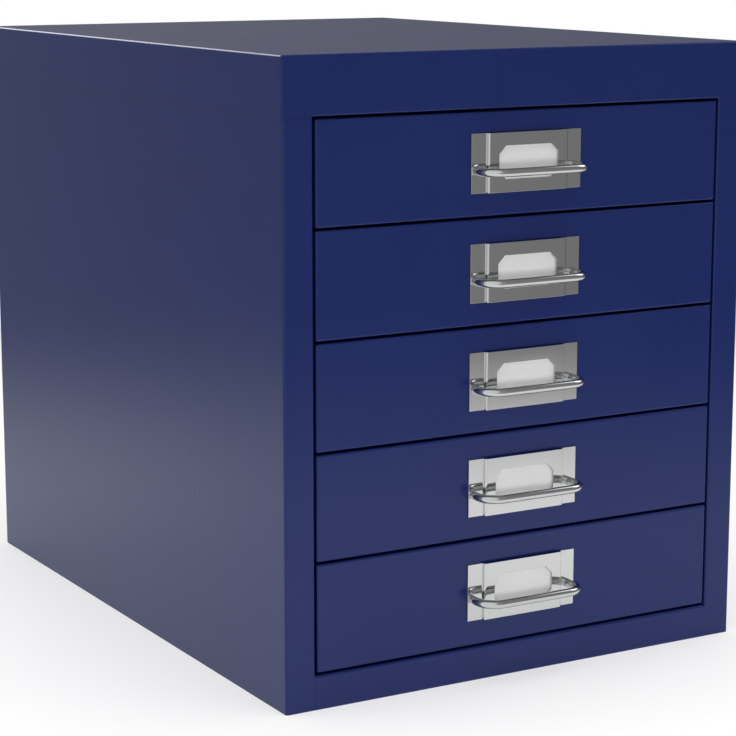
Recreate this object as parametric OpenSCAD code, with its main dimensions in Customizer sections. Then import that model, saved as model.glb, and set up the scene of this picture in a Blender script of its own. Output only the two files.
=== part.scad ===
// Desktop cabinet of shallow drawers, folded from sheet steel and painted.
// X runs to the right, Y to the back and Z up. The drawer fronts face -Y.
// The origin is the middle of the underside, which stands on the floor.
// Drawers are counted from the top. All sizes are in millimetres.

/* [Cabinet] */
// Width over the lid's skirt
cabinet_w = 279; // [240:1:420]
// Depth over the lid's skirt, without the handles
cabinet_d = 380; // [320:1:460]
// Height from the floor to the top of the lid
cabinet_h = 325; // [300:1:420]
// Number of drawers
drawer_count = 5; // [3:1:6]

/* [Casing] */
// Thickness of the casing's sheet
case_t = 0.9; // [0.7:0.1:1.5]
// Inside radius of the casing's and the trays' folds
bend_r = 0.5; // [0.2:0.1:1]
// Width of the front stiles, from the side's outer face to the opening
stile_w = 16.6; // [14:0.1:24]
// Height of the rail under the bottom drawer
rail_h = 17.8; // [14:0.1:30]
// Depth of the returns folded back round the opening
return_d = 12; // [8:0.5:20]
// Width of the flanges folded in at the back
rear_flange_w = 15; // [8:0.5:25]
// Height of the base pan's upturned flanges
base_flange_h = 12; // [6:0.5:13]

/* [Lid] */
// Height of the lid's skirt
lid_h = 29.4; // [20:0.1:40]
// Thickness of the lid's sheet
lid_t = 0.8; // [0.6:0.1:1.2]
// Clearance between the skirt and the casing
lid_fit = 0.1; // [0.05:0.05:0.5]
// How far the skirt hangs below the top line of the drawer stack
lid_lap = 0.9; // [0:0.1:2]

/* [Drawer fronts] */
// Gap round each drawer front
front_gap = 1.25; // [0.8:0.05:2.5]
// Depth of the hollow front, from its face to its rear lips
front_d = 12; // [9:0.5:16]
// Thickness of the front's sheet
front_t = 0.8; // [0.6:0.1:1.2]
// Inside radius of the front's folds
front_bend_r = 0.3; // [0.1:0.1:0.8]
// Width of the lips folded in at the back of the front
lip_w = 12; // [9:0.5:14]
// How far the bottom front reaches below the stack's bottom line
sill_drop = 2.3; // [0:0.1:4]

/* [Trays and runners] */
// Thickness of the tray's sheet
tray_t = 0.7; // [0.5:0.1:1.2]
// Height of the tray's underside above the bottom line of its place in the stack
tray_rise = 3; // [2:0.5:6]
// Height left free above the tray, up to the top line of its place
head_room = 6.3; // [4:0.1:12]
// Width of the flanges that carry the tray on its runners
flange_w = 7; // [5:0.5:9]
// How far the flanges stay inside the front's edges
flange_inset = 0.75; // [0.5:0.05:2]
// Space between the closed tray and the back panel
rear_gap = 12; // [8:0.5:30]
// Thickness of the runner's sheet
runner_t = 1.2; // [0.8:0.1:2]
// Height of the runner's web, where it is welded to the side
web_h = 16; // [10:0.5:24]
// Gap between the runner's ledge and the tray's wall
runner_gap = 1.5; // [0.8:0.1:3]
// Running clearance between the ledge and the tray's flange
run_play = 0.3; // [0.2:0.05:0.6]
// Distance from the front's rear lips to the runner's front end
runner_start = 2; // [1:0.5:6]

/* [Stops and buffers] */
// Depth of the tab turned down at the runner's front end
tab_h = 6; // [4:0.5:9]
// Distance from the tray's back to the front of its stop blocks
stop_inset = 49; // [30:1:120]
// Length of a stop block
stop_len = 18; // [8:0.5:28]
// Height of a stop block
stop_h = 5; // [3:0.5:8]
// Width of a stop block
stop_w = 6.5; // [4:0.5:8]
// Gap between a stop block and the ledge above it
stop_play = 0.6; // [0.3:0.1:1.5]
// Diameter of the block's snap stud
snap_d = 3; // [2:0.1:3]
// Diameter of the snap stud's head
snap_head_d = 4.6; // [4:0.1:5]
// Thickness of the snap stud's head
snap_head_t = 1; // [0.6:0.1:1.5]
// Diameter of the rubber buffers behind the drawers
buffer_d = 9; // [6:0.5:14]
// Distance between the two buffers of a drawer
buffer_span = 170; // [80:1:190]
// Gap between a buffer and the closed tray
buffer_play = 0.3; // [0.2:0.1:1]

/* [Handle plate] */
// Plate left on the outer side of each handle arm
plate_margin = 0.7; // [0.3:0.1:10]
// Height of the handle plate
plate_h = 30; // [24:0.5:34]
// Thickness of the handle plate
plate_t = 0.9; // [0.6:0.1:1.2]
// Width of the plate's raised middle
raised_w = 47.4; // [42:0.1:48]
// How far the middle is raised in front of the flanges
raised_step = 2; // [1.5:0.1:3]
// How far each side of the raised middle leans out on its way down
raised_lean = 0.7; // [0:0.1:1.5]
// Inside radius of the plate's folds
plate_bend_r = 0.3; // [0.2:0.1:0.5]
// Width of the label window
window_w = 35.5; // [24:0.5:39]
// Height of the label window
window_h = 16.8; // [10:0.1:22]
// Chamfer of the window's corners
window_chamfer = 4; // [1:0.1:5]
// How far the plate's centre lies below the middle of its place in the stack
plate_drop = 0.25; // [0:0.05:2]
// Side play of the label card in the plate's raised middle
card_fit = 0.8; // [0.3:0.1:2]
// Height of the label card
card_h = 27; // [23:0.5:29]
// Thickness of the label card
card_t = 0.4; // [0.2:0.1:1]

/* [Bail handle] */
// Diameter of the handle's rod
rod_d = 4.4; // [3.6:0.1:5.4]
// Distance between the centre lines of the handle's arms
arm_span = 60.2; // [54:0.1:61.4]
// Distance from the plate's flange to the centre line of the handle's bar
reach = 14; // [11.5:0.1:25]
// Centre-line radius of the handle's corners
corner_r = 9.6; // [4:0.1:11]
// How far the rod lies below the plate's centre
rod_drop = 3.7; // [0:0.1:8]
// Diameter of the threaded ends
stud_d = 3; // [2.5:0.1:3.2]
// Clearance round the threaded ends, in the plate and the front
stud_fit = 0.15; // [0.05:0.05:0.3]
// Width across the flats of the nuts
nut_flats = 5.5; // [5:0.1:7]
// Thickness of the nuts
nut_t = 2.4; // [1.6:0.1:3.2]
// Play between the nut and the stud's crests
thread_fit = 0.05; // [0.02:0.01:0.1]
// Length of stud that stands out of the nut
stud_out = 0.8; // [0:0.1:2]

/* [Hidden] */
$fn = 48;
paint = [0.13, 0.17, 0.37];
chrome = [0.80, 0.80, 0.81];
zinc = [0.62, 0.64, 0.66];
card_white = [0.85, 0.85, 0.85];
nylon = [0.90, 0.90, 0.88];
rubber = [0.10, 0.10, 0.10];
over = 1; // how far a cutting tool stands out of what it cuts
arc_steps = 6; // flats in each fold of the handle plate
drawers = [1:drawer_count];

// Casing, inside the lid's skirt
case_w = cabinet_w - 2 * (lid_t + lid_fit);
case_d = cabinet_d - 2 * (lid_t + lid_fit);
case_top = cabinet_h - lid_t;
case_r = bend_r + case_t;
side_in = case_w / 2 - case_t;
face_y = -case_d / 2;
back_y = case_d / 2;
back_in = back_y - 2 * case_t;
opening_w = case_w - 2 * stile_w;
lid_edge = cabinet_h - lid_h;
return_fit = 0.3;

// The stack of drawers between the rail and the lid
stack_z = rail_h + sill_drop;
pitch = (lid_edge + lid_lap - stack_z) / drawer_count;
front_w = opening_w - 2 * front_gap;
lips_y = face_y + front_d;

// Tray, and the ledge that it runs on
tray_w = front_w - 2 * (flange_inset + flange_w);
tray_h = pitch - tray_rise - head_room;
tray_back = back_in - rear_gap;
tray_len = tray_back - lips_y;
ledge_in = tray_w / 2 + runner_gap;
ledge_h = tray_rise + tray_h - tray_t - run_play;
runner_y = lips_y + runner_start;
stop_y = tray_back - stop_inset;
stop_top = ledge_h - runner_t - stop_play;

// Handle
rod_r = rod_d / 2;
plate_w = arm_span + rod_d + 2 * plate_margin;
bar_y = face_y - plate_t - reach;
card_y = face_y - raised_step;
card_w = raised_w - 2 * (plate_t + card_fit);

// Bottom line of a drawer's place in the stack
function cell_z(n) = stack_z + (drawer_count - n) * pitch;
// Lower and upper edge of a drawer's front
function front_low(n) = n == drawer_count ? rail_h + front_gap : cell_z(n) + front_gap / 2;
function front_high(n) = n == 1 ? lid_edge - front_gap : cell_z(n) + pitch - front_gap / 2;
// Centre height of a drawer's handle plate
function plate_z(n) = cell_z(n) + pitch / 2 - plate_drop;

// ---- Shapes that repeat ----

// A quarter ring: a fold in a sheet, turned by an angle about its centre
module fold(inner_r, t, angle) {
    rotate([0, 0, angle])
        intersection() {
            difference() {
                circle(r = inner_r + t);
                circle(r = inner_r);
            }
            square(inner_r + t);
        }
}

// Points on an arc about c, which turns from one angle to another in equal steps
function arc_points(c, r, from, to) = [
    for (i = [0:arc_steps])
        let (a = from + (to - from) * i / arc_steps)
            c + r * [cos(a), sin(a)]
];

// A centred rectangle with round corners
module round_rect(w, h, r) {
    square([w - 2 * r, h], center = true);
    square([w, h - 2 * r], center = true);
    for (x = [-1, 1], y = [-1, 1])
        translate([x * (w / 2 - r), y * (h / 2 - r)])
            circle(r = r);
}

// A rectangle that stands on the X axis and has its two upper corners rounded
module round_top(w, h, r) {
    translate([-w / 2, 0])
        square([w, h - r]);
    translate([-w / 2 + r, 0])
        square([w - 2 * r, h]);
    for (x = [-1, 1])
        translate([x * (w / 2 - r), h - r])
            circle(r = r);
}

// A block on the XY plane whose top edges and upright corners are rounded, as a folded pan's are
module pan_block(w, d, h, r) {
    intersection() {
        linear_extrude(h)
            round_rect(w, d, r);
        rotate([90, 0, 0])
            linear_extrude(d, center = true)
                round_top(w, h, r);
        rotate([90, 0, 90])
            linear_extrude(w, center = true)
                round_top(d, h, r);
    }
}

// Puts its children at both ends of a centred span along X, the left one mirrored
module both_sides(span) {
    for (s = [-1, 1])
        scale_x(s)
            translate([span / 2, 0, 0])
                children();
}

// Mirrors its children to the left for -1 and leaves them for 1
module scale_x(s) {
    mirror([s < 0 ? 1 : 0, 0, 0])
        children();
}

// ---- Casing ----

// Plan of the right side beside the rail: side wall, rear flange and a plain stile
module side_plan_low() {
    x_out = case_w / 2;
    translate([side_in, face_y + case_r])
        square([case_t, case_d - 2 * case_r]);
    translate([x_out - case_r, face_y + case_r])
        fold(bend_r, case_t, 270);
    translate([x_out - case_r, back_y - case_r])
        fold(bend_r, case_t, 0);
    translate([x_out - rear_flange_w, back_y - case_t])
        square([rear_flange_w - case_r, case_t]);
    translate([opening_w / 2, face_y])
        square([stile_w - case_r, case_t]);
}

// Plan of the right side beside the opening, where the stile folds back
module side_plan_high() {
    difference() {
        side_plan_low();
        translate([opening_w / 2 - over, face_y - over])
            square([over + case_r, over + case_t]);
    }
    translate([opening_w / 2 + case_r, face_y + case_r])
        fold(bend_r, case_t, 180);
    translate([opening_w / 2, face_y + case_r])
        square([case_t, return_d - case_r]);
}

module side_panel(s) {
    color(paint)
        scale_x(s) {
            linear_extrude(rail_h)
                side_plan_low();
            translate([0, 0, rail_h])
                linear_extrude(case_top - rail_h)
                    side_plan_high();
        }
}

module left_side() {
    side_panel(-1);
}

module right_side() {
    side_panel(1);
}

// Flat sheet between the sides, welded inside their rear flanges
module back_panel() {
    w = 2 * (side_in - bend_r);
    color(paint)
        translate([-w / 2, back_in, 0])
            cube([w, case_t, case_top]);
}

// Shallow pan that closes the underside, its flanges turned up inside the walls
module base_pan() {
    front = face_y + case_t;
    depth = back_in - front;
    corner = stile_w - case_t + return_fit;
    color(paint)
        difference() {
            translate([-side_in, front, 0])
                cube([2 * side_in, depth, base_flange_h]);
            translate([case_t - side_in, front + case_t, case_t])
                cube([2 * (side_in - case_t), depth - 2 * case_t, base_flange_h]);
            both_sides(opening_w - 2 * return_fit)
                translate([0, front - over, case_t])
                    cube([corner + over, return_d + over, base_flange_h]);
            both_sides(2 * side_in)
                translate([-bend_r, front - over, -over])
                    cube([bend_r + over, bend_r + over, base_flange_h + 2 * over]);
        }
}

// Face under the bottom drawer, folded back along its top edge
module bottom_rail() {
    color(paint)
        rotate([90, 0, 90])
            linear_extrude(opening_w, center = true) {
                translate([face_y, 0])
                    square([case_t, rail_h - case_r]);
                translate([face_y + case_r, rail_h - case_r])
                    fold(bend_r, case_t, 90);
                translate([face_y + case_r, rail_h - case_t])
                    square([return_d - case_r, case_t]);
            }
}

// Cap that sits on the casing's walls, with a return behind the front skirt's lower edge
module lid() {
    lid_r = bend_r + lid_t;
    inner_r = min(bend_r, lid_fit);
    return_w = opening_w - 2 * return_fit;
    color(paint) {
        translate([0, 0, lid_edge])
            difference() {
                pan_block(cabinet_w, cabinet_d, lid_h, lid_r);
                translate([0, 0, -over])
                    pan_block(cabinet_w - 2 * lid_t, cabinet_d - 2 * lid_t, lid_h - lid_t + over, inner_r);
            }
        translate([-return_w / 2, lid_t - cabinet_d / 2, lid_edge])
            cube([return_w, return_d, lid_t]);
    }
}

// Rubber studs on the back panel that the closed trays meet, two to a drawer
module rear_buffers() {
    color(rubber)
        for (n = drawers, x = [-1, 1])
            translate([x * buffer_span / 2, back_in, cell_z(n) + tray_rise + tray_h / 2])
                rotate([90, 0, 0])
                    cylinder(d = buffer_d, h = rear_gap - buffer_play);
}

// ---- Runners ----

// Ledge on the right side's inner wall, with a stop tab turned down at its front end
module runner(s, n) {
    ledge_w = side_in - ledge_in;
    outer_r = bend_r + runner_t;
    length = back_in - runner_y - rear_gap / 2;
    tab_w = flange_w + runner_gap;
    color(paint)
        scale_x(s)
            translate([0, runner_y, cell_z(n) + ledge_h]) {
                translate([0, length, 0])
                    rotate([90, 0, 0])
                        linear_extrude(length) {
                            translate([ledge_in, -runner_t])
                                square([ledge_w - outer_r, runner_t]);
                            translate([side_in - outer_r, -outer_r])
                                fold(bend_r, runner_t, 0);
                            translate([side_in - runner_t, -web_h])
                                square([runner_t, web_h - outer_r]);
                        }
                translate([ledge_in, 0, -runner_t - tab_h])
                    cube([tab_w, runner_t, tab_h + runner_t]);
            }
}

module left_runner(n) {
    runner(-1, n);
}

module right_runner(n) {
    runner(1, n);
}

// ---- Drawer ----

// Hollow front: a pan with lips folded in at the back, drilled for the handle
module drawer_front(n) {
    low = front_low(n);
    h = front_high(n) - low;
    outer_r = front_bend_r + front_t;
    color(paint)
        difference() {
            translate([0, lips_y, low + h / 2])
                rotate([90, 0, 0])
                    difference() {
                        pan_block(front_w, h, front_d, outer_r);
                        translate([0, 0, front_t])
                            pan_block(front_w - 2 * front_t, h - 2 * front_t, front_d - 2 * front_t, front_bend_r);
                        translate([0, 0, front_t / 2])
                            cube([front_w - 2 * lip_w, h - 2 * lip_w, front_t + over], center = true);
                    }
            stud_holes(n);
        }
}

// Through holes for the handle's threaded ends, in the plate and the front's face
module stud_holes(n) {
    for (x = [-1, 1])
        translate([x * arm_span / 2, face_y + front_t + over, plate_z(n) - rod_drop])
            rotate([90, 0, 0])
                cylinder(d = stud_d + 2 * stud_fit, h = plate_t + front_t + 2 * over);
}

// Open tray behind the front, with a flange along each side to run on
module drawer_tray(n) {
    outer_r = bend_r + tray_t;
    color(paint)
        translate([0, lips_y, cell_z(n) + tray_rise])
            difference() {
                union() {
                    translate([0, tray_len / 2, tray_h])
                        rotate([180, 0, 0])
                            pan_block(tray_w, tray_len, tray_h, outer_r);
                    both_sides(tray_w)
                        translate([-tray_t, tray_t, tray_h - tray_t])
                            cube([tray_t + flange_w, tray_len - tray_t, tray_t]);
                }
                translate([0, tray_len / 2, tray_h + over])
                    rotate([180, 0, 0])
                        pan_block(tray_w - 2 * tray_t, tray_len - 2 * tray_t, tray_h - tray_t + over, bend_r);
                both_sides(tray_w)
                    translate([-tray_t - over, snap_y() - lips_y, snap_z() - tray_rise])
                        rotate([0, 90, 0])
                            cylinder(d = snap_d + 2 * stud_fit, h = tray_t + 2 * over);
            }
}

// Middle of a stop block, along Y and above the cell's bottom line
function snap_y() = stop_y + stop_len / 2;
function snap_z() = stop_top - stop_h / 2;

// Nylon blocks that slide under the ledges and meet the runners' tabs when the drawer is open
module stop_blocks(n) {
    color(nylon)
        translate([0, 0, cell_z(n)])
            both_sides(tray_w) {
                translate([0, stop_y, stop_top - stop_h])
                    cube([stop_w, stop_len, stop_h]);
                translate([-tray_t - snap_head_t, snap_y(), snap_z()])
                    rotate([0, 90, 0]) {
                        cylinder(d = snap_d, h = tray_t + snap_head_t + over);
                        cylinder(d = snap_head_d, h = snap_head_t);
                    }
            }
}

// ---- Handle ----

// Plan of the handle plate, with its back at the front's face
module plate_plan() {
    turn = atan2(raised_step, raised_lean);
    outer_r = plate_bend_r + plate_t;
    high = [raised_w / 2 - outer_r * tan(turn / 2), plate_bend_r - raised_step];
    low = [raised_w / 2 + raised_lean + plate_bend_r * tan(turn / 2), -outer_r];
    half = concat(
        arc_points(high, outer_r, 270, 270 + turn),
        arc_points(low, plate_bend_r, 90 + turn, 90),
        [[plate_w / 2, -plate_t], [plate_w / 2, 0]],
        arc_points(low, outer_r, 90, 90 + turn),
        arc_points(high, plate_bend_r, 270 + turn, 270)
    );
    last = len(half) - 1;
    polygon(concat(half, [for (i = [last:-1:0]) [-half[i].x, half[i].y]]));
}

// Outline of the label window
module window_outline() {
    x = window_w / 2;
    z = window_h / 2;
    c = window_chamfer;
    polygon([
        [x, c - z], [x, z - c], [x - c, z], [c - x, z],
        [-x, z - c], [-x, c - z], [c - x, -z], [x - c, -z]
    ]);
}

// Sheet plate with a raised middle that holds the label card behind its window
module handle_plate(n) {
    color(chrome)
        difference() {
            translate([0, face_y, plate_z(n) - plate_h / 2])
                linear_extrude(plate_h)
                    plate_plan();
            translate([0, card_y, plate_z(n)])
                rotate([90, 0, 0])
                    linear_extrude(2 * (plate_t + over), center = true)
                        window_outline();
            stud_holes(n);
        }
}

// Blank card behind the window
module label_card(n) {
    color(card_white)
        translate([-card_w / 2, card_y, plate_z(n) - card_h / 2])
            cube([card_w, card_t, card_h]);
}

// U-shaped rod handle whose shoulders clamp the plate to the front
module bail_handle(n) {
    arm_x = arm_span / 2;
    arm_len = reach - corner_r;
    stud_len = plate_t + front_t + nut_t + stud_out;
    color(chrome)
        translate([0, bar_y, plate_z(n) - rod_drop]) {
            rotate([0, 90, 0])
                cylinder(r = rod_r, h = arm_span - 2 * corner_r, center = true);
            both_sides(arm_span - 2 * corner_r)
                translate([0, corner_r, 0])
                    rotate([0, 0, 270])
                        rotate_extrude(angle = 90)
                            translate([corner_r, 0])
                                circle(r = rod_r);
            both_sides(2 * arm_x)
                translate([0, corner_r, 0])
                    rotate([-90, 0, 0]) {
                        cylinder(r = rod_r, h = arm_len);
                        cylinder(d = stud_d, h = arm_len + stud_len);
                    }
        }
}

// Nuts on the handle's threaded ends, inside the hollow front
module bail_nuts(n) {
    color(zinc)
        for (x = [-1, 1])
            translate([x * arm_span / 2, face_y + front_t, plate_z(n) - rod_drop])
                rotate([-90, 0, 0])
                    difference() {
                        cylinder(d = nut_flats / cos(30), h = nut_t, $fn = 6);
                        translate([0, 0, -over])
                            cylinder(d = stud_d + 2 * thread_fit, h = nut_t + 2 * over);
                    }
}

// ---- The nodes ----

left_side();
right_side();
back_panel();
base_pan();
bottom_rail();
lid();
rear_buffers();
for (n = drawers) {
    left_runner(n);
    right_runner(n);
    drawer_front(n);
    drawer_tray(n);
    stop_blocks(n);
    handle_plate(n);
    label_card(n);
    bail_handle(n);
    bail_nuts(n);
}
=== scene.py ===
"""Desktop cabinet of five shallow drawers, folded from sheet steel and painted.

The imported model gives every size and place. This script dresses it: each sheet is folded anew with
round bends and a real wall, the handles are bent from rod, and the finishes are procedural.
Metres throughout. X runs to the right, Y to the back and Z up, and the drawers face -Y.
"""
import logging
import math
from collections.abc import Callable, Iterable, Sequence
from dataclasses import dataclass
from enum import Enum
from functools import cache
from typing import Any

import bmesh
import bpy
from mathutils import Matrix, Vector


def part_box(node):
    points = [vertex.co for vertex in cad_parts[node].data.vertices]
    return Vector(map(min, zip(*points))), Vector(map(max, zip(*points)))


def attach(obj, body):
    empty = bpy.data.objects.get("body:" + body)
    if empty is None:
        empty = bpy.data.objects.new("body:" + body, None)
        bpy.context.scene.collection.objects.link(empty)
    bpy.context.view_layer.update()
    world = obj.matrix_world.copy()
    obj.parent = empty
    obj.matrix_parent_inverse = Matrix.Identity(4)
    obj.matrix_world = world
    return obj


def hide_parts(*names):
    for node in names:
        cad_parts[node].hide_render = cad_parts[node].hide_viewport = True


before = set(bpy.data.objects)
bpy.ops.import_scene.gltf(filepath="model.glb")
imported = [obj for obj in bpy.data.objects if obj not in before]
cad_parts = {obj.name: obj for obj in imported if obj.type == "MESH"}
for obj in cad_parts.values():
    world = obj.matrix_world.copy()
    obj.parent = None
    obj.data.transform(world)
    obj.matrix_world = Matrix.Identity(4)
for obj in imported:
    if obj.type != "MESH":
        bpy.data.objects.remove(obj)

log = logging.getLogger("cabinet")
MM = 0.001
NEAR = 0.02 * MM  # how close two places are to count as one
DRAWERS = range(1, 6)
TURN_STEPS = 10  # facets of a bend in a rod
END_CUT = 4 * MM  # where a long sheet is cut near its end, which keeps its wall even between
WHITE = (1.0, 1.0, 1.0, 1.0)
Point = Sequence[float]
Colour = tuple[float, float, float]


class Side(Enum):
    """The six ways that a face can look."""

    LEFT = (-1.0, 0.0, 0.0)
    RIGHT = (1.0, 0.0, 0.0)
    FRONT = (0.0, -1.0, 0.0)
    BACK = (0.0, 1.0, 0.0)
    BOTTOM = (0.0, 0.0, -1.0)
    TOP = (0.0, 0.0, 1.0)

    @property
    def way(self) -> Vector:
        """The direction as a vector."""
        return Vector(self.value)


class Grow(Enum):
    """The side of a drawn sheet on which its wall gets its thickness."""

    INWARD = -1.0
    OUTWARD = 1.0


# ---- Shader graphs ----


class Value:
    """A number that changes over a surface, so that shader maths reads as Python."""

    def __init__(self, graph: "Graph", socket: bpy.types.NodeSocket) -> None:
        """Keeps the graph and the output socket that carries the number."""
        self.graph = graph
        self.socket = socket

    def __add__(self, other: "Value | float") -> "Value":
        """Self plus other."""
        return self.graph.math("ADD", self, other)

    def __sub__(self, other: "Value | float") -> "Value":
        """Self minus other."""
        return self.graph.math("SUBTRACT", self, other)

    def __rsub__(self, other: float) -> "Value":
        """Other minus self."""
        return self.graph.math("SUBTRACT", other, self)

    def __mul__(self, other: "Value | float") -> "Value":
        """Self times other."""
        return self.graph.math("MULTIPLY", self, other)

    __radd__ = __add__

    def either(self, other: "Value | float") -> "Value":
        """The larger of self and other."""
        return self.graph.math("MAXIMUM", self, other)

    def over(self, low: float, high: float) -> "Value":
        """Rises smoothly from 0 at low to 1 at high.

        Args:
            low: number that gives 0.
            high: number that gives 1.

        Returns:
            The smooth step.
        """
        node = self.graph.node(
            "MapRange",
            {"interpolation_type": "SMOOTHSTEP"},
            {"Value": self, "From Min": low, "From Max": high},
        )
        return Value(self.graph, node.outputs["Result"])


class Graph:
    """The node tree of one material or world."""

    def __init__(self, tree: bpy.types.NodeTree) -> None:
        """Empties the tree and keeps it."""
        tree.nodes.clear()
        self.tree = tree

    def node(
        self,
        kind: str,
        settings: dict[str, Any] | None = None,
        sockets: dict[str | int, Any] | None = None,
    ) -> bpy.types.Node:
        """Adds a node.

        Args:
            kind: the node's type without Blender's prefix.
            settings: attributes, set before the sockets are filled.
            sockets: plain numbers, tuples, sockets or Values by input name or index.

        Returns:
            The node.
        """
        node = self.tree.nodes.new("ShaderNode" + kind)
        for key, setting in (settings or {}).items():
            setattr(node, key, setting)
        for key, given in (sockets or {}).items():
            source = given.socket if isinstance(given, Value) else given
            if isinstance(source, bpy.types.NodeSocket):
                self.tree.links.new(source, node.inputs[key])
            else:
                node.inputs[key].default_value = source
        return node

    def math(self, operation: str, *terms: Value | float) -> Value:
        """Adds a Math node.

        Args:
            operation: Blender's name of the operation.
            terms: its inputs in order.

        Returns:
            The result.
        """
        node = self.node("Math", {"operation": operation}, dict(enumerate(terms)))
        return Value(self, node.outputs["Value"])

    def place(self) -> bpy.types.NodeSocket:
        """The point on the piece in its own coordinates, which are metres in the frame."""
        return self.node("TexCoord").outputs["Object"]

    def stretched(self, place: bpy.types.NodeSocket, scale: Point) -> bpy.types.NodeSocket:
        """Scales a point along each axis.

        Args:
            place: the point.
            scale: factors for X, Y and Z.

        Returns:
            The scaled point.
        """
        node = self.node("VectorMath", {"operation": "MULTIPLY"}, {0: place, 1: scale})
        return node.outputs["Vector"]

    def along(self, vector: bpy.types.NodeSocket, way: Point) -> Value:
        """How far a vector reaches along a direction.

        Args:
            vector: the vector.
            way: the direction.

        Returns:
            Their dot product.
        """
        node = self.node("VectorMath", {"operation": "DOT_PRODUCT"}, {0: vector, 1: tuple(way)})
        return Value(self, node.outputs["Value"])

    def noise(
        self, place: bpy.types.NodeSocket, scale: float, detail: float = 1.0, rough: float = 0.5
    ) -> Value:
        """Adds soft noise round 0.5.

        Args:
            place: the point where it is read.
            scale: features to the metre.
            detail: octaves of finer noise.
            rough: weight of the finer octaves.

        Returns:
            The noise.
        """
        sockets = {"Vector": place, "Scale": scale, "Detail": detail, "Roughness": rough}
        return Value(self, self.node("TexNoise", None, sockets).outputs[0])

    def blend(self, share: Value, first: Colour, second: Colour) -> bpy.types.NodeSocket:
        """Mixes two colours.

        Args:
            share: 0 for the first colour and 1 for the second.
            first: linear colour.
            second: linear colour.

        Returns:
            The mixed colour.
        """
        sockets = {0: share, 6: (*first, 1.0), 7: (*second, 1.0)}
        return self.node("Mix", {"data_type": "RGBA"}, sockets).outputs[2]

    def bump(self, height: Value, depth: float, strength: float) -> bpy.types.NodeSocket:
        """Adds a bump.

        Args:
            height: relief from 0 to 1.
            depth: what a relief of 1 measures.
            strength: share of the relief that shows.

        Returns:
            The bent normal.
        """
        sockets = {"Height": height, "Distance": depth, "Strength": strength}
        return self.node("Bump", None, sockets).outputs["Normal"]

    def output(self, shader: bpy.types.Node, kind: str = "OutputMaterial") -> None:
        """Sends a shader node to the material's or the world's output."""
        self.node(kind, None, {"Surface": shader.outputs[0]})


def new_material(name: str) -> tuple[bpy.types.Material, Graph]:
    """Makes an empty material.

    Args:
        name: the material's name.

    Returns:
        The material and its graph.
    """
    material = bpy.data.materials.new(name)
    material.use_nodes = True
    return material, Graph(material.node_tree)


# ---- Finishes ----


@dataclass(frozen=True)
class Finish:
    """What every finish has.

    Attributes:
        name: the material's name.
        slot: the record's material slot that it stands for; not used.
        tone: linear colour at one end of the slow drift.
        second_tone: linear colour at the other end.
        roughness: middle of the roughness.
        roughness_drift: how far the roughness follows the drift.
        drift_scale: patches of the drift to the metre.
    """

    name: str
    slot: str
    tone: Colour
    second_tone: Colour
    roughness: float
    roughness_drift: float = 0.04
    drift_scale: float = 18.0

    @cache
    def material(self) -> bpy.types.Material:
        """Makes the material once, however many pieces wear it."""
        material, graph = new_material(self.name)
        graph.output(self.shader(graph, graph.place()))
        return material

    def shader(self, graph: Graph, place: bpy.types.NodeSocket) -> bpy.types.Node:
        """Makes the shader.

        Args:
            graph: the material's graph.
            place: the point on the piece.

        Returns:
            The Principled node.
        """
        drift = graph.noise(place, self.drift_scale, 3.0)
        sockets = {
            "Base Color": graph.blend(drift.over(0.3, 0.7), self.tone, self.second_tone),
            "Roughness": self.roughness + (drift - 0.5) * self.roughness_drift,
        }
        sockets.update(self.detail(graph, place, drift))
        return graph.node("BsdfPrincipled", None, sockets)

    def detail(
        self, graph: Graph, place: bpy.types.NodeSocket, drift: Value
    ) -> dict[str | int, Any]:
        """Sockets that only this finish has.

        Args:
            graph: the material's graph.
            place: the point on the piece.
            drift: the slow drift of the tone.

        Returns:
            Values by the Principled node's input names.
        """
        return {}


@dataclass(frozen=True)
class StovedPaint(Finish):
    """Glossy stoved enamel, with the fine orange peel that sprayed paint dries to.

    Attributes:
        peel_scale: dimples of the peel to the metre.
        peel_depth: relief of the peel.
        peel_strength: share of the relief that shows.
        gloss: how much the enamel mirrors.
        fleck_drift: how far the roughness differs from fleck to fleck.
    """

    peel_scale: float = 430.0
    peel_depth: float = 0.03 * MM
    peel_strength: float = 0.16
    gloss: float = 0.3
    fleck_drift: float = 0.03

    def detail(
        self, graph: Graph, place: bpy.types.NodeSocket, drift: Value
    ) -> dict[str | int, Any]:
        """Orange peel under a gloss that differs a little from place to place.

        Args:
            graph: the material's graph.
            place: the point on the piece.
            drift: the slow drift of the tone.

        Returns:
            Values by the Principled node's input names.
        """
        peel = graph.noise(place, self.peel_scale, 1.0, 0.4)
        flow = graph.noise(place, self.peel_scale / 5.0, 1.0)
        fleck = graph.noise(place, self.peel_scale * 6.0, 1.0)
        return {
            "Roughness": self.roughness
            + (drift - 0.5) * self.roughness_drift
            + (fleck - 0.5) * self.fleck_drift,
            "Normal": graph.bump(peel + flow * 1.5, self.peel_depth, self.peel_strength),
            "IOR": 1.5,
            "Specular IOR Level": self.gloss,
        }


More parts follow.
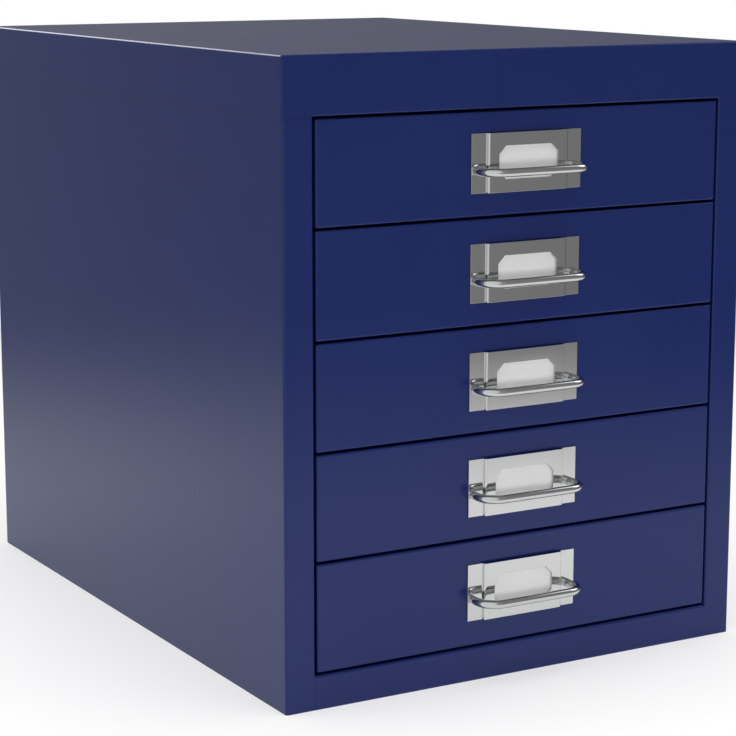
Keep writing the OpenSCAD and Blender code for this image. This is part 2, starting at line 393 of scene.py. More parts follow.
@dataclass(frozen=True)
class BrightMetal(Finish):
    """Polished or plated metal, with the faint lines of its rolling and polishing.

    Attributes:
        line_stretch: lines to the metre along each axis.
        line_depth: relief of the lines.
        line_strength: share of the relief that shows.
        haze: roughness that the haze adds where it is thickest.
        haze_scale: patches of haze to the metre.
    """

    line_stretch: tuple[float, float, float] = (60.0, 900.0, 900.0)
    line_depth: float = 0.004 * MM
    line_strength: float = 0.08
    haze: float = 0.05
    haze_scale: float = 240.0

    def detail(
        self, graph: Graph, place: bpy.types.NodeSocket, drift: Value
    ) -> dict[str | int, Any]:
        """Faint lines and a thin haze.

        Args:
            graph: the material's graph.
            place: the point on the piece.
            drift: the slow drift of the tone.

        Returns:
            Values by the Principled node's input names.
        """
        lines = graph.noise(graph.stretched(place, self.line_stretch), 1.0, 2.0)
        haze = graph.noise(place, self.haze_scale, 3.0).over(0.45, 0.8)
        return {
            "Metallic": 1.0,
            "Roughness": self.roughness
            + (lines - 0.5) * self.roughness_drift
            + haze * self.haze,
            "Normal": graph.bump(lines, self.line_depth, self.line_strength),
        }


@dataclass(frozen=True)
class CardStock(Finish):
    """Uncoated card, with fibres that run every way."""

    fibre_scale: float = 2600.0
    fibre_depth: float = 0.02 * MM
    strand_stretch: tuple[float, float, float] = (900.0, 900.0, 3200.0)

    def detail(
        self, graph: Graph, place: bpy.types.NodeSocket, drift: Value
    ) -> dict[str | int, Any]:
        """Fibres in relief.

        Args:
            graph: the material's graph.
            place: the point on the piece.
            drift: the slow drift of the tone.

        Returns:
            Values by the Principled node's input names.
        """
        pulp = graph.noise(place, self.fibre_scale, 3.0, 0.7)
        strands = graph.noise(graph.stretched(place, self.strand_stretch), 1.0, 2.0)
        return {
            "Normal": graph.bump(pulp + strands * 0.6, self.fibre_depth, 0.5),
            "Specular IOR Level": 0.25,
        }


@dataclass(frozen=True)
class Moulded(Finish):
    """Moulded plastic or rubber with a fine spark-eroded grain."""

    grain_scale: float = 1500.0
    grain_depth: float = 0.02 * MM

    def detail(
        self, graph: Graph, place: bpy.types.NodeSocket, drift: Value
    ) -> dict[str | int, Any]:
        """Mould grain in relief.

        Args:
            graph: the material's graph.
            place: the point on the piece.
            drift: the slow drift of the tone.

        Returns:
            Values by the Principled node's input names.
        """
        grain = graph.noise(place, self.grain_scale, 2.0, 0.6)
        return {"Normal": graph.bump(grain, self.grain_depth, 0.5)}


PAINT = StovedPaint(
    "stoved_paint", "blue_paint", (0.0046, 0.0130, 0.0880), (0.0052, 0.0142, 0.0930), 0.18
)
CHROME = BrightMetal(
    "bright_chrome", "chrome", (0.560, 0.568, 0.564), (0.578, 0.584, 0.580), 0.05, 0.02
)
CARD = CardStock("label_card", "white_card", (0.618, 0.618, 0.616), (0.638, 0.638, 0.636), 0.75)
ZINC = BrightMetal(
    "zinc_plate", "zinc_steel", (0.52, 0.54, 0.55), (0.62, 0.62, 0.60), 0.30, 0.10, 160.0,
    line_strength=0.3, haze=0.2,
)
NYLON = Moulded("nylon", "nylon", (0.74, 0.73, 0.68), (0.80, 0.79, 0.75), 0.42)
RUBBER = Moulded("rubber", "rubber", (0.018, 0.018, 0.019), (0.028, 0.028, 0.028), 0.66)


# ---- Sheet metal ----


def node_box(node: str) -> tuple[Vector, Vector]:
    """The lowest and highest corner of a CAD node at rest."""
    low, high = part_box(node)
    return Vector(low), Vector(high)


class Form:
    """A mesh in the making, which the sheet-metal operations shape."""

    def __init__(self) -> None:
        """Starts with nothing."""
        self.bm = bmesh.new()

    @classmethod
    def block(cls, low: Point, high: Point) -> "Form":
        """Starts as a closed block.

        Args:
            low: its lowest corner.
            high: its highest corner.

        Returns:
            The form, its faces looking outward.
        """
        form = cls()
        size = Vector(high) - Vector(low)
        matrix = Matrix.Translation((Vector(low) + Vector(high)) / 2) @ Matrix.Diagonal((*size, 1.0))
        bmesh.ops.create_cube(form.bm, size=1.0, matrix=matrix)
        return form

    @classmethod
    def strip(cls, path: Sequence[Point], run: Vector, outside: Side) -> "Form":
        """Starts as a bent strip: a path drawn out along a straight run.

        Args:
            path: the corners of the sheet's section.
            run: how far and which way the section is drawn out.
            outside: the way in which the strip's outermost face looks.

        Returns:
            The form.
        """
        form = cls()
        corners = [form.bm.verts.new(point) for point in path]
        edges = [form.bm.edges.new(pair) for pair in zip(corners, corners[1:])]
        form.draw_out(edges, run)
        form.bm.normal_update()
        outermost = max(form.bm.faces, key=lambda face: face.calc_center_median().dot(outside.way))
        if outermost.normal.dot(outside.way) < 0:
            bmesh.ops.reverse_faces(form.bm, faces=form.bm.faces)
        return form

    def draw_out(self, edges: Iterable[bmesh.types.BMEdge], run: Vector) -> None:
        """Extrudes edges into faces along a straight run."""
        made = bmesh.ops.extrude_edge_only(self.bm, edges=list(edges))["geom"]
        bmesh.ops.translate(self.bm, vec=run, verts=[v for v in made if isinstance(v, bmesh.types.BMVert)])

    def faces(self, *sides: Side) -> list[bmesh.types.BMFace]:
        """The faces that look one of these ways."""
        self.bm.normal_update()
        return [f for f in self.bm.faces if any(f.normal.dot(s.way) > 0.99 for s in sides)]

    def edges(self, test: Callable[[Vector], bool]) -> list[bmesh.types.BMEdge]:
        """The edges whose two ends both pass a test on their place."""
        return [e for e in self.bm.edges if all(test(v.co) for v in e.verts)]

    def drop(self, faces: Iterable[bmesh.types.BMFace]) -> None:
        """Deletes faces, with the edges and corners that only they use."""
        bmesh.ops.delete(self.bm, geom=list(faces), context="FACES")

    def cut(self, faces: Iterable[bmesh.types.BMFace], point: Point, normal: Point) -> None:
        """Cuts faces along a plane.

        Args:
            faces: the faces to cut.
            point: a point of the plane.
            normal: the plane's normal.
        """
        faces = list(faces)
        edges = dict.fromkeys(e for f in faces for e in f.edges)
        corners = dict.fromkeys(v for f in faces for v in f.verts)
        geometry = [*corners, *edges, *faces]
        bmesh.ops.bisect_plane(self.bm, geom=geometry, dist=1e-7, plane_co=point, plane_no=normal)

    def bend(
        self, edges: Iterable[bmesh.types.BMEdge], radius: float, segments: int = 6
    ) -> None:
        """Rounds edges, as a fold in a sheet is.

        Args:
            edges: the folds.
            radius: radius on the drawn side of the sheet.
            segments: facets of the round.
        """
        bmesh.ops.bevel(
            self.bm, geom=list(edges), offset=radius, offset_type="OFFSET", segments=segments,
            profile=0.5, affect="EDGES", material=-1, clamp_overlap=True,
        )


@dataclass(frozen=True)
class Piece:
    """One finished piece: where it rides, what it stands for and how its wall is made.

    Attributes:
        name: the object's name.
        body: the CAD body that it rides on.
        node: the CAD node that it replaces.
        finish: what it is finished with.
        wall: thickness given to an open sheet, or 0 for a closed form.
        grow: the side on which the wall grows.
        edge: radius of the broken edges, or 0 for none.
    """

    name: str
    body: str
    node: str
    finish: Finish
    wall: float = 0.0
    grow: Grow = Grow.INWARD
    edge: float = 0.12 * MM

    def make(self, form: Form) -> bpy.types.Object:
        """Turns a form into the piece.

        Args:
            form: the shaped mesh, which is used up.

        Returns:
            The object, in place and dressed.
        """
        mesh = bpy.data.meshes.new(self.name)
        form.bm.to_mesh(mesh)
        form.bm.free()
        mesh.shade_smooth()
        mesh.materials.append(self.finish.material())
        piece = bpy.data.objects.new(self.name, mesh)
        bpy.context.scene.collection.objects.link(piece)
        if self.wall:
            shell = piece.modifiers.new("wall", "SOLIDIFY")
            shell.thickness = self.wall
            shell.offset = self.grow.value
            shell.use_even_offset = True
        if self.edge:
            broken = piece.modifiers.new("broken_edges", "BEVEL")
            broken.width = self.edge
            broken.segments = 2
            broken.limit_method = "ANGLE"
            broken.angle_limit = math.radians(50)
            weighted = piece.modifiers.new("flat_faces", "WEIGHTED_NORMAL")
            weighted.weight = 100
        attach(piece, self.body)
        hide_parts(self.node)
        log.info("%s: %d faces drawn, rides on %s", self.name, len(mesh.polygons), self.body)
        return piece


# ---- Casing ----


@dataclass
class Casing:
    """The body of the cabinet: sides with their stiles, back, base, rail and lid.

    Attributes:
        sheet: wall of every sheet but the lid's.
        bend: outer radius of their folds.
        return_depth: how far the returns of stiles and lid reach back.
        rear_flange: width of each side's flange behind.
        rail_edge: radius of the rail's broken edges.
        lid_sheet: wall of the lid.
        lid_bend: outer radius of its folds.
        lid_return: half the length of the return behind its front skirt.
        return_fit: room between the base pan and the stiles' returns.
    """

    sheet: float = 0.9 * MM
    bend: float = 1.4 * MM
    return_depth: float = 12.0 * MM
    rear_flange: float = 15.0 * MM
    rail_edge: float = 0.05 * MM
    lid_sheet: float = 0.8 * MM
    lid_bend: float = 1.3 * MM
    lid_return: float = 121.7 * MM
    return_fit: float = 0.3 * MM

    def build(self) -> None:
        """Makes all its pieces."""
        self.side("left_side", -1.0)
        self.side("right_side", 1.0)
        self.rail()
        self.back()
        self.base()
        self.lid()

    def side(self, node: str, sign: float) -> None:
        """Folds a side, with its stile in front and its flange behind.

        Args:
            node: the CAD node that it replaces.
            sign: -1 for the left side and 1 for the right one.
        """
        low, high = node_box(node)
        rail_low, rail_high = node_box("bottom_rail")
        outer = sign * max(abs(low.x), abs(high.x))
        inner = sign * rail_high.x
        flange = sign * (abs(outer) - self.rear_flange)
        lips = low.y + self.return_depth
        plan = [(inner, lips), (inner, low.y), (outer, low.y), (outer, high.y), (flange, high.y)]
        outside = Side.LEFT if sign < 0 else Side.RIGHT
        form = Form.strip([(x, y, low.z) for x, y in plan], Vector((0, 0, high.z - low.z)), outside)
        for x, y in plan[1:-1]:
            form.bend(form.edges(lambda p: abs(p.x - x) < NEAR and abs(p.y - y) < NEAR), self.bend)
        # Beside the rail the stile is plain, so its fold and return start above it
        form.cut(form.bm.faces, (0, 0, rail_high.z), (0, 0, 1))
        stile_end = abs(inner) + self.bend

        def folded_back(face: bmesh.types.BMFace) -> bool:
            """Tells whether a face is in the fold or return beside the rail."""
            middle = face.calc_center_median()
            near_front = middle.y < lips + NEAR
            return near_front and abs(middle.x) < stile_end and middle.z < rail_high.z

        form.drop([face for face in form.bm.faces if folded_back(face)])
        ends = form.edges(
            lambda p: abs(abs(p.x) - stile_end) < NEAR and p.z < rail_high.z + NEAR and p.y < 0
        )
        form.draw_out(ends, Vector((inner - sign * stile_end, 0, 0)))
        bmesh.ops.remove_doubles(form.bm, verts=form.bm.verts, dist=0.001 * MM)
        Piece(f"casing_{outside.name.lower()}", "cabinet", node, PAINT, self.sheet).make(form)

    def rail(self) -> None:
        """Folds the rail under the bottom drawer, with its return along the top."""
        low, high = node_box("bottom_rail")
        section = [(low.x, low.y, low.z), (low.x, low.y, high.z), (low.x, high.y, high.z)]
        form = Form.strip(section, Vector((high.x - low.x, 0, 0)), Side.FRONT)
        form.bend(form.edges(lambda p: p.y < low.y + NEAR and p.z > high.z - NEAR), self.bend)
        piece = Piece("casing_rail", "cabinet", "bottom_rail", PAINT, self.sheet, edge=self.rail_edge)
        piece.make(form)

    def back(self) -> None:
        """Cuts the flat back, which stands inside the sides' rear flanges."""
        low, high = node_box("back_panel")
        form = Form.block(low, high)
        Piece("casing_back", "cabinet", "back_panel", PAINT).make(form)

    def base(self) -> None:
        """Folds the base pan, its flanges cut away where the stiles' returns stand."""
        low, high = node_box("base_pan")
        _, rail_high = node_box("bottom_rail")
        clear_x = rail_high.x - self.return_fit
        clear_y = low.y + self.return_depth
        form = Form.block(low, high)
        form.drop(form.faces(Side.TOP))
        for x in (-clear_x, clear_x):
            form.cut(form.faces(Side.FRONT), (x, 0, 0), (1, 0, 0))
        form.cut(form.faces(Side.LEFT, Side.RIGHT), (0, clear_y, 0), (0, 1, 0))

        def in_the_way(face: bmesh.types.BMFace) -> bool:
            """Tells whether a flange's face stands where a return comes down."""
            middle = face.calc_center_median()
            return abs(face.normal.z) < 0.5 and abs(middle.x) > clear_x and middle.y < clear_y

        form.drop([face for face in form.bm.faces if in_the_way(face)])
        inner = [edge for edge in form.bm.edges if len(edge.link_faces) == 2]
        form.bend([edge for edge in inner if edge.calc_face_angle() > 1], self.bend)
        Piece("casing_base", "cabinet", "base_pan", PAINT, self.sheet).make(form)

    def lid(self) -> None:
        """Folds the lid, with the return behind its front skirt."""
        low, high = node_box("lid")
        form = Form.block(low, high)
        form.drop(form.faces(Side.BOTTOM))
        form.bend([e for e in form.bm.edges if len(e.link_faces) == 2], self.lid_bend)
        for x in (-self.lid_return, self.lid_return):
            form.cut(form.faces(Side.FRONT), (x, 0, 0), (1, 0, 0))

        def hem(point: Vector) -> bool:
            """Tells whether a point is on the lower edge of the skirt, where the return begins."""
            in_reach = abs(point.x) < self.lid_return + NEAR
            return in_reach and point.y < low.y + NEAR and point.z < low.z + NEAR

        form.draw_out(form.edges(hem), Vector((0, self.return_depth, 0)))
        form.bend(form.edges(hem), self.lid_sheet + 0.2 * MM, 4)
        Piece("lid_cap", "cabinet", "lid", PAINT, self.lid_sheet).make(form)


# ---- Drawers ----


@dataclass
class Drawer:
    """One drawer: hollow front, tray, plate, card and bail handle, all riding on one body.

    Attributes:
        number: 1 for the top drawer and 5 for the bottom one.
        front_sheet: wall of the front.
        front_bend: outer radius of its folds.
        lip: width of the lips round its open back.
        tray_sheet: wall of the tray.
        tray_bend: inner radius of its folds.
        flange: how far its side flanges reach out.
        plate_sheet: wall of the handle plate.
        raised_width: width of its raised middle.
        plate_fold_in: inner radius of its folds.
        raised_lean: how far each step wall leans outward from top to foot.
        window_width: width of the label window.
        window_height: height of the label window.
        window_chamfer: how far its corners are cut.
        card_corner: radius of the card's corners.
        card_edge: radius of its broken edges.
        card_bow: how far its ends bow back.
        rod: thickness of the handle's rod.
        corner: radius of the rod's middle line in its corners.
        stud: thickness of its threaded ends.
        stud_chamfer: chamfer at the tip of a stud.
        shoulder_chamfer: chamfer where the rod meets the plate.
        shoulder_share: share of the rod's thickness left there.
        rod_sides: facets round the rod.
    """

    number: int
    front_sheet: float = 0.8 * MM
    front_bend: float = 1.1 * MM
    lip: float = 12.0 * MM
    tray_sheet: float = 0.7 * MM
    tray_bend: float = 0.5 * MM
    flange: float = 7.0 * MM
    plate_sheet: float = 0.9 * MM
    raised_width: float = 47.4 * MM
    plate_fold_in: float = 0.3 * MM
    raised_lean: float = 0.7 * MM
    window_width: float = 35.5 * MM
    window_height: float = 16.8 * MM
    window_chamfer: float = 4.0 * MM
    card_corner: float = 1.0 * MM
    card_edge: float = 0.04 * MM
    card_bow: float = 0.2 * MM
    rod: float = 4.4 * MM
    corner: float = 9.6 * MM
    stud: float = 3.0 * MM
    stud_chamfer: float = 0.3 * MM
    shoulder_chamfer: float = 0.2 * MM
    shoulder_share: float = 0.9
    rod_sides: int = 24

    @property
    def body(self) -> str:
        """The CAD body that the drawer is."""
        return f"drawer_{self.number}"

    def piece(self, name: str, node: str, finish: Finish, **others: Any) -> Piece:
        """Names a piece of this drawer.

        Args:
            name: the piece's name without the drawer's number.
            node: the CAD node's name without the drawer's number.
            finish: what it is finished with.
            others: the piece's wall, grow or edge.

        Returns:
            The piece, ready to be made.
        """
        return Piece(f"{name}_{self.number}", self.body, f"{node}_{self.number}", finish, **others)

    def build(self) -> None:
        """Makes all its pieces."""
        self.front()
        self.tray()
        self.plate()
        self.card()
        self.bail()

    def front(self) -> None:
        """Folds the hollow front, with lips round its open back."""
        low, high = node_box(f"drawer_front_{self.number}")
        form = Form.block(low, high)
        form.bend(list(form.bm.edges), self.front_bend)
        rear = max(form.faces(Side.BACK), key=lambda face: face.calc_area())
        width = self.lip - self.front_bend
        bmesh.ops.inset_individual(form.bm, faces=[rear], thickness=width, use_even_offset=True)
        form.drop([max(form.faces(Side.BACK), key=lambda face: face.calc_area())])
        self.piece("front_pan", "drawer_front", PAINT, wall=self.front_sheet).make(form)

    def tray(self) -> None:
        """Folds the tray from its inner faces, with a flange along each side."""
        low, high = node_box(f"drawer_tray_{self.number}")
        wall = self.tray_sheet
        inner_x = high.x - self.flange - wall
        form = Form.block((-inner_x, low.y + wall, low.z + wall), (inner_x, high.y - wall, high.z))
        form.drop(form.faces(Side.TOP))
        form.bend([e for e in form.bm.edges if len(e.link_faces) == 2], self.tray_bend, 4)
        for sign in (-1.0, 1.0):
            rim = form.edges(lambda p: abs(p.x - sign * inner_x) < NEAR and p.z > high.z - NEAR)
            form.draw_out(rim, Vector((sign * (self.flange + wall), 0, 0)))
        fold = form.edges(lambda p: abs(abs(p.x) - inner_x) < NEAR and p.z > high.z - NEAR)
        form.bend([e for e in fold if len(e.link_faces) == 2], wall + 0.3 * MM, 4)
        for y in (low.y + END_CUT, high.y - END_CUT):
            form.cut(form.bm.faces, (0, y, 0), (0, 1, 0))
        self.piece("tray_pan", "drawer_tray", PAINT, wall=wall, grow=Grow.OUTWARD).make(form)

    def plate(self) -> None:
        """Folds the handle plate and cuts the label window in its raised middle."""
        low, high = node_box(f"handle_plate_{self.number}")
        flange_y = high.y - self.plate_sheet
        wall_x = self.raised_width / 2
        foot_x = wall_x + self.raised_lean
        plan = [
            (low.x, flange_y), (-foot_x, flange_y), (-wall_x, low.y),
            (wall_x, low.y), (foot_x, flange_y), (high.x, flange_y),
        ]
        section = [(x, y, low.z) for x, y in plan]
        form = Form.strip(section, Vector((0, 0, high.z - low.z)), Side.FRONT)
        # The round starts at this share of its radius from the corner, and would at all of it if square
        setback = math.tan(math.atan2(flange_y - low.y, self.raised_lean) / 2)
        for x, y, radius in (
            (foot_x, flange_y, self.plate_fold_in),
            (wall_x, low.y, self.plate_fold_in + self.plate_sheet),
        ):
            fold = form.edges(lambda p: abs(abs(p.x) - x) < NEAR and abs(p.y - y) < NEAR)
            form.bend(fold, radius * setback)
        self.cut_window(form, low.y, (low.z + high.z) / 2)
        self.piece("label_plate", "handle_plate", CHROME, wall=self.plate_sheet).make(form)

    def cut_window(self, form: Form, y: float, middle_z: float) -> None:
        """Cuts the eight-sided window.

        Args:
            form: the folded plate.
            y: where the raised face stands.
            middle_z: height of the window's middle.
        """
        half_x = self.window_width / 2
        half_z = self.window_height / 2

        def raised() -> list[bmesh.types.BMFace]:
            """The faces of the raised middle."""
            return [f for f in form.bm.faces if all(abs(v.co.y - y) < NEAR for v in f.verts)]

        def window() -> bmesh.types.BMFace:
            """The face at the window's middle."""
            middle = Vector((0, y, middle_z))
            return min(raised(), key=lambda face: (face.calc_center_median() - middle).length)

        for x in (-half_x, half_x):
            form.cut(raised(), (x, 0, 0), (1, 0, 0))
        for z in (middle_z - half_z, middle_z + half_z):
            form.cut(raised(), (0, 0, z), (0, 0, 1))
        for sign_x in (-1.0, 1.0):
            for sign_z in (-1.0, 1.0):
                start = (sign_x * (half_x - self.window_chamfer), y, middle_z + sign_z * half_z)
                form.cut([window()], start, (sign_x, 0, sign_z))
        form.drop([window()])

    def card(self) -> None:
        """Cuts the blank label card, which bows a little behind the window."""
        low, high = node_box(f"label_card_{self.number}")
        form = Form.block(low, high)
        corners = [e for e in form.bm.edges if abs(e.verts[0].co.y - e.verts[1].co.y) > NEAR]
        form.bend(corners, self.card_corner, 3)
        for step in range(-3, 4):
            form.cut(form.bm.faces, (step * high.x / 4, 0, 0), (1, 0, 0))
        for corner in form.bm.verts:
            corner.co.y += self.card_bow * (corner.co.x / high.x) ** 2
        self.piece("blank_card", "label_card", CARD, edge=self.card_edge).make(form)

    def bail(self) -> None:
        """Bends the handle from rod, its ends turned down to studs, from the left stud to the right."""
        low, high = node_box(f"bail_handle_{self.number}")
        plate_low, plate_high = node_box(f"handle_plate_{self.number}")
        shoulder_y = plate_high.y - self.plate_sheet
        radius = self.rod / 2
        arm_x = high.x - radius
        bend_x = arm_x - self.corner
        bend_y = low.y + radius + self.corner
        z = (low.z + high.z) / 2
        tip = self.stud_chamfer
        ease = self.shoulder_chamfer
        tip_radius = self.stud / 2 - tip
        grow_stud = self.stud / 2 / tip_radius
        grow_rod = self.rod / self.stud * self.shoulder_share
        form = Form()
        bmesh.ops.create_circle(
            form.bm, cap_ends=True, segments=self.rod_sides, radius=tip_radius,
            matrix=Matrix.Translation((-arm_x, high.y, z)) @ Matrix.Rotation(math.radians(90), 4, "X"),
        )
        end = form.bm.faces[:][0]
        end = self.push(form, end, (0, -tip, 0), grow_stud)
        end = self.push(form, end, (0, shoulder_y - high.y + tip, 0))
        end = self.push(form, end, (0, 0, 0), grow_rod)
        end = self.push(form, end, (0, -ease, 0), 1 / self.shoulder_share)
        end = self.push(form, end, (0, bend_y - shoulder_y + ease, 0))
        end = self.turn(form, end, (-bend_x, bend_y, z))
        end = self.push(form, end, (2 * bend_x, 0, 0))
        end = self.turn(form, end, (bend_x, bend_y, z))
        end = self.push(form, end, (0, shoulder_y - bend_y - ease, 0))
        end = self.push(form, end, (0, ease, 0), self.shoulder_share)
        end = self.push(form, end, (0, 0, 0), 1 / grow_rod)
        end = self.push(form, end, (0, high.y - shoulder_y - tip, 0))
        self.push(form, end, (0, tip, 0), 1 / grow_stud)
        bmesh.ops.recalc_face_normals(form.bm, faces=form.bm.faces)
        self.piece("bail_rod", "bail_handle", CHROME, edge=0.0).make(form)

    @staticmethod
    def push(
        form: Form, end: bmesh.types.BMFace, run: Point, scale: float = 1.0
    ) -> bmesh.types.BMFace:
        """Draws the rod's end face on in a straight line.

        Args:
            form: the rod.
            end: its end face.
            run: how far and which way.
            scale: how much the end grows or shrinks on the way.

        Returns:
            The new end face.
        """
        geometry = [end, *end.edges, *end.verts]
        made = bmesh.ops.extrude_face_region(form.bm, geom=geometry)["geom"]
        face = next(f for f in made if isinstance(f, bmesh.types.BMFace))
        middle = face.calc_center_median()
        bmesh.ops.scale(form.bm, vec=(scale,) * 3, verts=face.verts, space=Matrix.Translation(-middle))
        bmesh.ops.translate(form.bm, vec=run, verts=face.verts)
        return face

    @staticmethod
    def turn(form: Form, end: bmesh.types.BMFace, centre: Point) -> bmesh.types.BMFace:
        """Bends the rod by a right angle about an upright axis.

        Args:
            form: the rod.
            end: its end face.
            centre: a point on the bend's axis.

        Returns:
            The new end face.
        """
        step = Matrix.Rotation(math.radians(90 / TURN_STEPS), 3, "Z")
        for _ in range(TURN_STEPS):
            end = Drawer.push(form, end, (0, 0, 0))
            bmesh.ops.rotate(form.bm, cent=centre, matrix=step, verts=end.verts)
        return end


@dataclass
class Runner:
    """The two ledges of a drawer, welded to the sides, each with a stop tab turned down in front.

    Attributes:
        number: the drawer's number.
        sheet: wall of the sheet.
        bend: outer radius of the fold along it.
        tab_width: how far the tab reaches out from the ledge's free edge.
        tab_drop: how far the tab hangs down.
    """

    number: int
    sheet: float = 1.2 * MM
    bend: float = 1.7 * MM
    tab_width: float = 8.5 * MM
    tab_drop: float = 7.2 * MM

    def build(self) -> None:
        """Folds the left and the right one."""
        for node, sign in ((f"left_runner_{self.number}", -1.0), (f"right_runner_{self.number}", 1.0)):
            low, high = node_box(node)
            wall_x = sign * max(abs(low.x), abs(high.x))
            ledge_x = sign * min(abs(low.x), abs(high.x))
            section = [(wall_x, low.y, low.z), (wall_x, low.y, high.z), (ledge_x, low.y, high.z)]
            form = Form.strip(section, Vector((0, high.y - low.y, 0)), Side.TOP)
            fold = form.edges(lambda p: abs(p.x - wall_x) < NEAR and p.z > high.z - NEAR)
            form.bend(fold, self.bend, 4)
            tab_x = abs(ledge_x) + self.tab_width
            form.cut(form.faces(Side.TOP), (sign * tab_x, 0, 0), (1, 0, 0))
            front = form.edges(
                lambda p: p.y < low.y + NEAR and p.z > high.z - NEAR and abs(p.x) < tab_x + NEAR
            )
            form.draw_out(front, Vector((0, 0, -self.tab_drop)))
            form.cut(form.bm.faces, (0, low.y + END_CUT, 0), (0, 1, 0))
            Piece(node.replace("runner", "ledge"), "cabinet", node, PAINT, self.sheet).make(form)


# ---- Studio ----


@dataclass(frozen=True)
class Lamp:
    """A soft lamp that points at the cabinet, unseen itself.

    Attributes:
        name: the lamp's name.
        place: where it hangs.
        size: its width and height.
        power: what it gives.
    """

    name: str
    place: tuple[float, float, float]
    size: tuple[float, float]
    power: float

    def hang(self) -> None:
        """Puts the lamp in the scene."""
        light = bpy.data.lights.new(self.name, "AREA")
        light.shape = "RECTANGLE"
        light.size, light.size_y = self.size
        light.energy = self.power
        lamp = bpy.data.objects.new(self.name, light)
        lamp.location = self.place
        aim = Vector((0.0, 0.0, 0.16)) - Vector(self.place)
        lamp.rotation_euler = aim.to_track_quat("-Z", "Y").to_euler()
        lamp.visible_glossy = False
        lamp.visible_camera = False
        bpy.context.scene.collection.objects.link(lamp)


@dataclass(frozen=True)
class Screen:
    """A lit screen in front of the walls, which only the gloss of the cabinet shows.

    Attributes:
        way: the direction in which it stands, seen from the cabinet.
        outer: cosine of the angle at which it fades out.
        inner: cosine of the angle at which it is full.
        tone: how much brighter it is than the wall.
    """

    way: tuple[float, float, float]
    outer: float
    inner: float
    tone: float

    def light(self, graph: Graph, ray: bpy.types.NodeSocket) -> Value:
        """The light that it adds.

        Args:
            graph: the graph of the walls' material.
            ray: the direction of a point of the walls, one long.

        Returns:
            Its strength there.
        """
        return graph.along(ray, Vector(self.way).normalized()).over(self.outer, self.inner) * self.tone


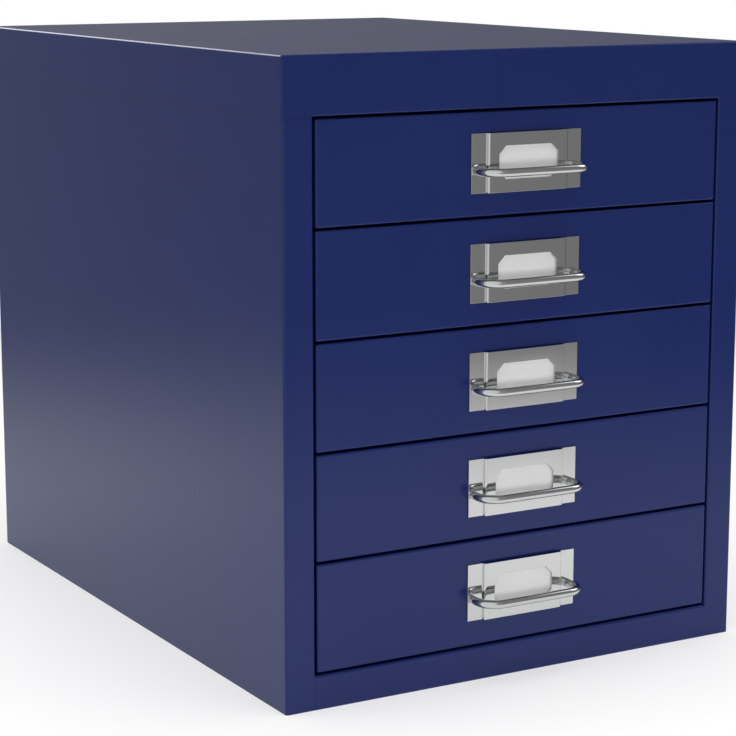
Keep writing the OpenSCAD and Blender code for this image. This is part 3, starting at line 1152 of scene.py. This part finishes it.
@dataclass
class Studio:
    """Pale floor, soft lamps, grey walls that only reflections see, and the camera.

    Attributes:
        floor_size: width of the square floor.
        floor_tone: how pale the floor is round the cabinet, the bright middle of a pool of light painted
            into its colour.
        painted_falloff_tone: how pale it is further out, where only diffuse light meets it; this fading is
            the painted falloff of that pool.
        shadow_share: share of the shaded floor that is seen near the cabinet.
        shadow_reach: where it starts to turn white and the painted pool of light starts to fade, and where
            both have.
        wall_tone: strength of the walls' grey.
        wall_lean: how the grey changes along each axis.
        wall_centre: middle of the clear ground inside the walls.
        wall_reach: where the walls start, and where they are whole.
        world_level: strength of the light that comes from all round.
        lens: focal length in millimetres for a 36 mm frame.
        camera_place: where the camera stands.
        camera_yaw: degrees that it is turned to the right.
        camera_pitch: degrees that it looks down.
        screens: the lit screens.
        lamps: the lamps.
    """

    floor_size: float = 12.0
    floor_tone: float = 0.95
    painted_falloff_tone: float = 0.25
    shadow_share: float = 0.55
    shadow_reach: tuple[float, float] = (0.45, 1.3)
    wall_tone: float = 0.31
    wall_lean: tuple[float, float, float] = (-0.16, -0.05, 0.0)
    wall_centre: tuple[float, float, float] = (0.03, -0.05, 0.0)
    wall_reach: tuple[float, float] = (0.37, 1.20)
    world_level: float = 0.35
    lens: float = 111.62
    camera_place: tuple[float, float, float] = (-0.6436, -1.1425, 0.3829)
    camera_yaw: float = 30.06
    camera_pitch: float = 10.88
    screens: tuple[Screen, ...] = (
        Screen((-0.72, -0.50, 0.45), 0.695, 0.788, 0.45),
        Screen((-0.10, 0.86, 0.50), 0.96, 0.98, 4.0),
        Screen((0.76, -0.13, 0.64), 0.945, 0.985, 2.0),
    )
    lamps: tuple[Lamp, ...] = (
        Lamp("lamp_over", (0.0, -0.2, 1.6), (1.4, 1.4), 18.0),
        Lamp("lamp_front", (0.1, -1.1, 0.15), (1.6, 0.24), 5.6),
        Lamp("lamp_left", (-1.2, 0.2, 0.6), (1.2, 0.8), 6.2),
        Lamp("lamp_right", (2.2, 0.2, 1.2), (1.4, 1.0), 12.0),
        Lamp("lamp_back", (0.2, 2.2, 1.3), (1.4, 1.0), 9.5),
    )

    def build(self) -> None:
        """Sets the whole studio up."""
        self.place_camera()
        self.lay_floor()
        self.raise_walls()
        self.light_world()
        for lamp in self.lamps:
            lamp.hang()

    def place_camera(self) -> None:
        """Puts the camera at the photograph's viewing angle."""
        data = bpy.data.cameras.new("camera")
        data.lens = self.lens
        data.sensor_width = 36.0
        data.clip_end = 50.0
        camera = bpy.data.objects.new("camera", data)
        camera.location = self.camera_place
        tilt = math.radians(90.0 - self.camera_pitch)
        camera.rotation_euler = (tilt, 0.0, -math.radians(self.camera_yaw))
        bpy.context.scene.collection.objects.link(camera)
        bpy.context.scene.camera = camera

    @staticmethod
    def distance(graph: Graph, centre: Point = (0.0, 0.0, 0.0)) -> Value:
        """How far a point is from a centre, which is the middle of the floor unless given."""
        node = graph.node("VectorMath", {"operation": "DISTANCE"}, {0: graph.place(), 1: tuple(centre)})
        return Value(graph, node.outputs["Value"])

    @staticmethod
    def seen(graph: Graph) -> Value:
        """1 for rays that see the background: from the camera, off gloss or through glass."""
        path = graph.node("LightPath")
        camera, glossy, through = (
            Value(graph, path.outputs[f"Is {kind} Ray"]) for kind in ("Camera", "Glossy", "Transmission")
        )
        return camera.either(glossy).either(through)

    def lay_floor(self) -> None:
        """Lays a pale floor that keeps a light shadow and is white further out where it is seen; for
        diffuse light its colour fades to grey outward, a painted pool of light.
        """
        material, graph = new_material("pale_floor")
        away = self.distance(graph).over(*self.shadow_reach)
        # Painted pool of light: the floor's colour fades from pale near the cabinet to grey further out,
        # which only diffuse rays meet
        colour = graph.blend(away, (self.floor_tone,) * 3, (self.painted_falloff_tone,) * 3)
        pale = graph.node("BsdfDiffuse", None, {"Color": colour})
        white = graph.node("Emission", None, {"Color": WHITE, "Strength": 1.0})
        share = (1 - (1 - away) * self.shadow_share) * self.seen(graph)
        graph.output(graph.node("MixShader", None, {0: share, 1: pale.outputs[0], 2: white.outputs[0]}))
        form = Form()
        bmesh.ops.create_grid(form.bm, x_segments=8, y_segments=8, size=self.floor_size / 2)
        self.add_stage("floor", form, material)

    def raise_walls(self) -> None:
        """Raises the grey walls that the gloss of the cabinet shows, a dome from the floor up."""
        material, graph = new_material("grey_walls")
        ray = graph.node("VectorMath", {"operation": "NORMALIZE"}, {0: graph.place()}).outputs["Vector"]
        tone = graph.along(ray, self.wall_lean) + self.wall_tone
        for screen in self.screens:
            tone = tone + screen.light(graph, ray)
        grey = graph.node("Emission", None, {"Color": WHITE, "Strength": tone})
        clear = graph.node("BsdfTransparent")
        share = self.distance(graph, self.wall_centre).over(*self.wall_reach)
        graph.output(graph.node("MixShader", None, {0: share, 1: clear.outputs[0], 2: grey.outputs[0]}))
        outline = [
            (0.4, 0.0005), (1.3, 0.0006), (3.0, 0.0007), (3.2, 0.05), (3.2, 1.5), (2.5, 2.6), (0, 3.2),
        ]
        form = Form()
        corners = [form.bm.verts.new((radius, 0, z)) for radius, z in outline]
        edges = [form.bm.edges.new(pair) for pair in zip(corners, corners[1:])]
        bmesh.ops.spin(
            form.bm, geom=[*corners, *edges], cent=(0, 0, 0), axis=(0, 0, 1), angle=math.tau, steps=64,
            use_merge=True,
        )
        walls = self.add_stage("walls", form, material)
        walls.visible_camera = False
        walls.visible_diffuse = False
        walls.visible_transmission = False
        walls.visible_volume_scatter = False
        walls.visible_shadow = False

    @staticmethod
    def add_stage(name: str, form: Form, material: bpy.types.Material) -> bpy.types.Object:
        """Adds a thing that isn't part of the object.

        Args:
            name: the object's name.
            form: its mesh.
            material: its material.

        Returns:
            The object.
        """
        mesh = bpy.data.meshes.new(name)
        form.bm.to_mesh(mesh)
        form.bm.free()
        mesh.materials.append(material)
        thing = bpy.data.objects.new(name, mesh)
        bpy.context.scene.collection.objects.link(thing)
        return thing

    def light_world(self) -> None:
        """Gives the world a plain level, and white where it is seen."""
        world = bpy.data.worlds.new("studio")
        world.use_nodes = True
        bpy.context.scene.world = world
        graph = Graph(world.node_tree)
        plain = graph.node("Background", None, {"Color": WHITE, "Strength": self.world_level})
        white = graph.node("Background", None, {"Color": WHITE, "Strength": 1.0})
        share = self.seen(graph)
        mixed = graph.node("MixShader", None, {0: share, 1: plain.outputs[0], 2: white.outputs[0]})
        graph.output(mixed, "OutputWorld")


def dress(node: str, finish: Finish) -> None:
    """Gives a CAD node that stays a finish.

    Args:
        node: the node's name.
        finish: the finish.
    """
    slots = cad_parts[node].data.materials
    if slots:
        slots[0] = finish.material()
    else:
        slots.append(finish.material())
    log.info("%s: carried over with %s", node, finish.name)


def main() -> None:
    """Builds the studio and the cabinet."""
    logging.basicConfig(level=logging.INFO, format="%(name)s: %(message)s")
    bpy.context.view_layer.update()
    bpy.context.scene.view_settings.view_transform = "Standard"
    Studio().build()
    Casing().build()
    for number in DRAWERS:
        Runner(number).build()
        Drawer(number).build()
        dress(f"stop_blocks_{number}", NYLON)
        dress(f"bail_nuts_{number}", ZINC)
    dress("rear_buffers", RUBBER)


if __name__ == "__main__":
    main()
